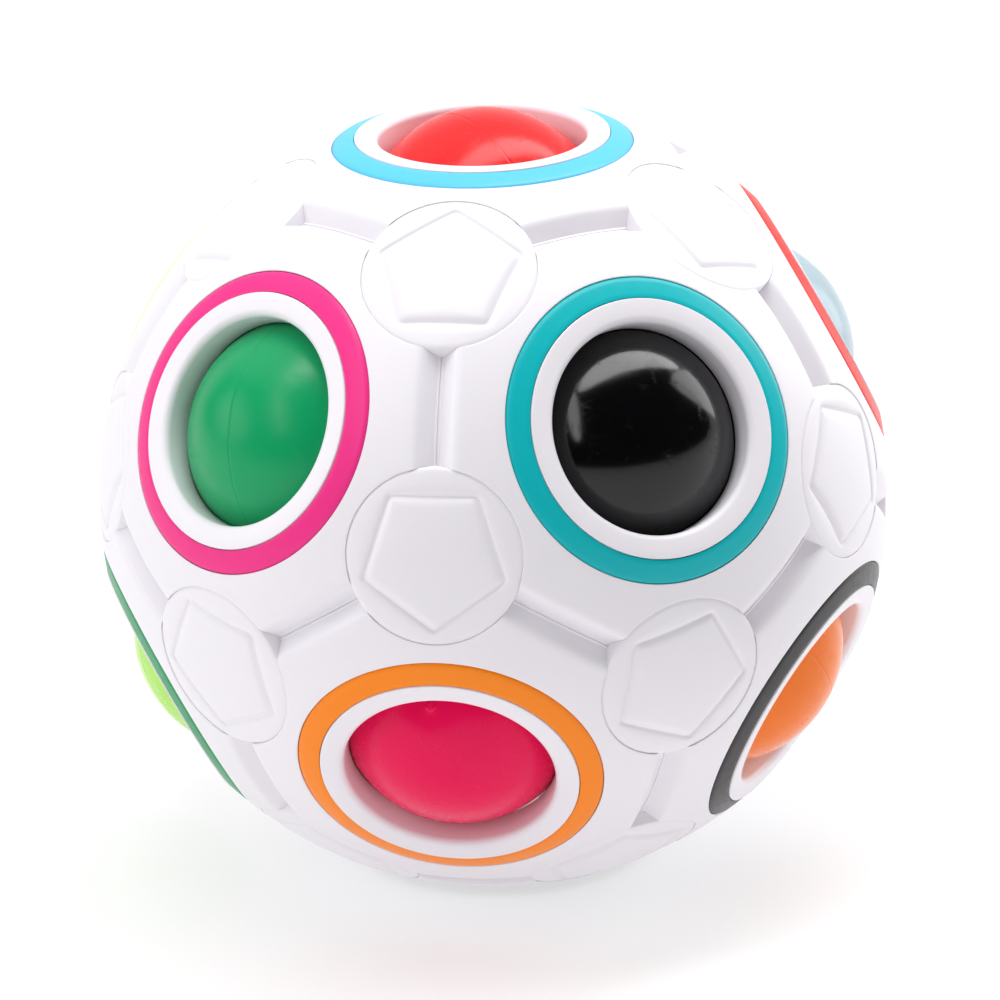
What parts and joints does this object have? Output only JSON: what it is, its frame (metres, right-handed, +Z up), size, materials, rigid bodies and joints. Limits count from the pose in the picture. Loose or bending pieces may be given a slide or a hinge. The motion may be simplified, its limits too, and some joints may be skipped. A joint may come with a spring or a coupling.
{
  "type": "push-in ball puzzle",
  "caption": "White sphere puzzle in a football pattern: coloured balls sit in ring-edged holes on sprung plungers and are pressed in and passed to the empty hole.",
  "frame": {"origin": "on the floor under the middle of the sphere: the centre of the flat lip round the empty bottom hole", "axes": "+Z up, through the bottom and top holes; -Y is the front, towards the lower front hole, and +X is to its right"},
  "size_m": [0.07, 0.07, 0.0685],
  "materials": {
    "shell_white": "satin moulded plastic",
    "cap_white": "satin moulded plastic",
    "core_grey": "plain moulded plastic",
    "plunger_grey": "low-friction moulded plastic",
    "spring_steel": "drawn wire",
    "ring_sky_blue": "moulded plastic",
    "ring_turquoise": "moulded plastic",
    "ring_red": "moulded plastic",
    "ring_yellow_green": "moulded plastic",
    "ring_yellow": "moulded plastic",
    "ring_pink": "moulded plastic",
    "ring_orange": "moulded plastic",
    "ring_dark_grey": "moulded plastic",
    "ring_purple": "moulded plastic",
    "ring_blue": "moulded plastic",
    "ring_green": "moulded plastic",
    "ring_light_grey": "moulded plastic",
    "ball_red": "glossy moulded plastic",
    "ball_black": "glossy moulded plastic",
    "ball_light_blue": "glossy moulded plastic",
    "ball_yellow": "glossy moulded plastic",
    "ball_purple": "glossy moulded plastic",
    "ball_green": "glossy moulded plastic",
    "ball_crimson": "glossy moulded plastic",
    "ball_orange": "glossy moulded plastic",
    "ball_blue": "glossy moulded plastic",
    "ball_rose": "glossy moulded plastic",
    "ball_lime": "glossy moulded plastic"
  },
  "bodies": {
    "frame": {"shell_upper": "shell_white", "shell_lower": "shell_white", "ring_top": "ring_sky_blue", "ring_front_right": "ring_turquoise", "ring_right": "ring_red", "ring_back": "ring_yellow_green", "ring_left": "ring_yellow", "ring_front_left": "ring_pink", "ring_lower_front": "ring_orange", "ring_lower_right": "ring_dark_grey", "ring_lower_back_right": "ring_purple", "ring_lower_back_left": "ring_blue", "ring_lower_left": "ring_green", "ring_bottom": "ring_light_grey", "boss_caps_top": "cap_white", "boss_caps_upper_belt": "cap_white", "boss_caps_lower_belt": "cap_white", "boss_caps_bottom": "cap_white", "spring_top": "spring_steel", "spring_front_right": "spring_steel", "spring_right": "spring_steel", "spring_back": "spring_steel", "spring_left": "spring_steel", "spring_front_left": "spring_steel", "spring_lower_front": "spring_steel", "spring_lower_right": "spring_steel", "spring_lower_back_right": "spring_steel", "spring_lower_back_left": "spring_steel", "spring_lower_left": "spring_steel", "spring_bottom": "spring_steel", "core_upper": "core_grey", "core_lower": "core_grey", "spring_seat": "core_grey"},
    "plunger_top": {"plunger_top": "plunger_grey"},
    "ball_top": {"ball_top": "ball_red"},
    "plunger_front_right": {"plunger_front_right": "plunger_grey"},
    "ball_front_right": {"ball_front_right": "ball_black"},
    "plunger_right": {"plunger_right": "plunger_grey"},
    "ball_right": {"ball_right": "ball_light_blue"},
    "plunger_back": {"plunger_back": "plunger_grey"},
    "ball_back": {"ball_back": "ball_yellow"},
    "plunger_left": {"plunger_left": "plunger_grey"},
    "ball_left": {"ball_left": "ball_purple"},
    "plunger_front_left": {"plunger_front_left": "plunger_grey"},
    "ball_front_left": {"ball_front_left": "ball_green"},
    "plunger_lower_front": {"plunger_lower_front": "plunger_grey"},
    "ball_lower_front": {"ball_lower_front": "ball_crimson"},
    "plunger_lower_right": {"plunger_lower_right": "plunger_grey"},
    "ball_lower_right": {"ball_lower_right": "ball_orange"},
    "plunger_lower_back_right": {"plunger_lower_back_right": "plunger_grey"},
    "ball_lower_back_right": {"ball_lower_back_right": "ball_blue"},
    "plunger_lower_back_left": {"plunger_lower_back_left": "plunger_grey"},
    "ball_lower_back_left": {"ball_lower_back_left": "ball_rose"},
    "plunger_lower_left": {"plunger_lower_left": "plunger_grey"},
    "ball_lower_left": {"ball_lower_left": "ball_lime"},
    "plunger_bottom": {"plunger_bottom": "plunger_grey"}
  },
  "joints": [
    {"name": "press_top", "type": "slide", "parent": "frame", "child": "plunger_top", "axis": [0, 0, -1], "range_m": [0, 0.0036], "stiffness_N_per_m": 400, "springref_m": -0.004, "deforming": ["spring_top"]},
    {"name": "spin_top", "type": "hinge", "parent": "plunger_top", "child": "ball_top", "pos_m": [0, 0, 0.05765], "axis": [0, 0, 1], "continuous": true},
    {"name": "press_front_right", "type": "slide", "parent": "frame", "child": "plunger_front_right", "axis": [-0.5257, 0.7236, -0.4472], "range_m": [0, 0.0036], "stiffness_N_per_m": 400, "springref_m": -0.004, "deforming": ["spring_front_right"]},
    {"name": "spin_front_right", "type": "hinge", "parent": "plunger_front_right", "child": "ball_front_right", "pos_m": [0.01283, -0.01766, 0.04416], "axis": [0.5257, -0.7236, 0.4472], "continuous": true},
    {"name": "press_right", "type": "slide", "parent": "frame", "child": "plunger_right", "axis": [-0.8507, -0.2764, -0.4472], "range_m": [0, 0.0036], "stiffness_N_per_m": 400, "springref_m": -0.004, "deforming": ["spring_right"]},
    {"name": "spin_right", "type": "hinge", "parent": "plunger_right", "child": "ball_right", "pos_m": [0.02076, 0.00674, 0.04416], "axis": [0.8507, 0.2764, 0.4472], "continuous": true},
    {"name": "press_back", "type": "slide", "parent": "frame", "child": "plunger_back", "axis": [0, -0.8944, -0.4472], "range_m": [0, 0.0036], "stiffness_N_per_m": 400, "springref_m": -0.004, "deforming": ["spring_back"]},
    {"name": "spin_back", "type": "hinge", "parent": "plunger_back", "child": "ball_back", "pos_m": [0, 0.02182, 0.04416], "axis": [0, 0.8944, 0.4472], "continuous": true},
    {"name": "press_left", "type": "slide", "parent": "frame", "child": "plunger_left", "axis": [0.8507, -0.2764, -0.4472], "range_m": [0, 0.0036], "stiffness_N_per_m": 400, "springref_m": -0.004, "deforming": ["spring_left"]},
    {"name": "spin_left", "type": "hinge", "parent": "plunger_left", "child": "ball_left", "pos_m": [-0.02076, 0.00674, 0.04416], "axis": [-0.8507, 0.2764, 0.4472], "continuous": true},
    {"name": "press_front_left", "type": "slide", "parent": "frame", "child": "plunger_front_left", "axis": [0.5257, 0.7236, -0.4472], "range_m": [0, 0.0036], "stiffness_N_per_m": 400, "springref_m": -0.004, "deforming": ["spring_front_left"]},
    {"name": "spin_front_left", "type": "hinge", "parent": "plunger_front_left", "child": "ball_front_left", "pos_m": [-0.01283, -0.01766, 0.04416], "axis": [-0.5257, -0.7236, 0.4472], "continuous": true},
    {"name": "press_lower_front", "type": "slide", "parent": "frame", "child": "plunger_lower_front", "axis": [0, 0.8944, 0.4472], "range_m": [0, 0.0036], "stiffness_N_per_m": 400, "springref_m": -0.004, "deforming": ["spring_lower_front"]},
    {"name": "spin_lower_front", "type": "hinge", "parent": "plunger_lower_front", "child": "ball_lower_front", "pos_m": [0, -0.02182, 0.02234], "axis": [0, -0.8944, -0.4472], "continuous": true},
    {"name": "press_lower_right", "type": "slide", "parent": "frame", "child": "plunger_lower_right", "axis": [-0.8507, 0.2764, 0.4472], "range_m": [0, 0.0036], "stiffness_N_per_m": 400, "springref_m": -0.004, "deforming": ["spring_lower_right"]},
    {"name": "spin_lower_right", "type": "hinge", "parent": "plunger_lower_right", "child": "ball_lower_right", "pos_m": [0.02076, -0.00674, 0.02234], "axis": [0.8507, -0.2764, -0.4472], "continuous": true},
    {"name": "press_lower_back_right", "type": "slide", "parent": "frame", "child": "plunger_lower_back_right", "axis": [-0.5257, -0.7236, 0.4472], "range_m": [0, 0.0036], "stiffness_N_per_m": 400, "springref_m": -0.004, "deforming": ["spring_lower_back_right"]},
    {"name": "spin_lower_back_right", "type": "hinge", "parent": "plunger_lower_back_right", "child": "ball_lower_back_right", "pos_m": [0.01283, 0.01766, 0.02234], "axis": [0.5257, 0.7236, -0.4472], "continuous": true},
    {"name": "press_lower_back_left", "type": "slide", "parent": "frame", "child": "plunger_lower_back_left", "axis": [0.5257, -0.7236, 0.4472], "range_m": [0, 0.0036], "stiffness_N_per_m": 400, "springref_m": -0.004, "deforming": ["spring_lower_back_left"]},
    {"name": "spin_lower_back_left", "type": "hinge", "parent": "plunger_lower_back_left", "child": "ball_lower_back_left", "pos_m": [-0.01283, 0.01766, 0.02234], "axis": [-0.5257, 0.7236, -0.4472], "continuous": true},
    {"name": "press_lower_left", "type": "slide", "parent": "frame", "child": "plunger_lower_left", "axis": [0.8507, 0.2764, 0.4472], "range_m": [0, 0.0036], "stiffness_N_per_m": 400, "springref_m": -0.004, "deforming": ["spring_lower_left"]},
    {"name": "spin_lower_left", "type": "hinge", "parent": "plunger_lower_left", "child": "ball_lower_left", "pos_m": [-0.02076, -0.00674, 0.02234], "axis": [-0.8507, -0.2764, -0.4472], "continuous": true},
    {"name": "press_bottom", "type": "slide", "parent": "frame", "child": "plunger_bottom", "axis": [0, 0, 1], "range_m": [0, 0.0036], "stiffness_N_per_m": 400, "springref_m": -0.004, "deforming": ["spring_bottom"]}
  ]
}
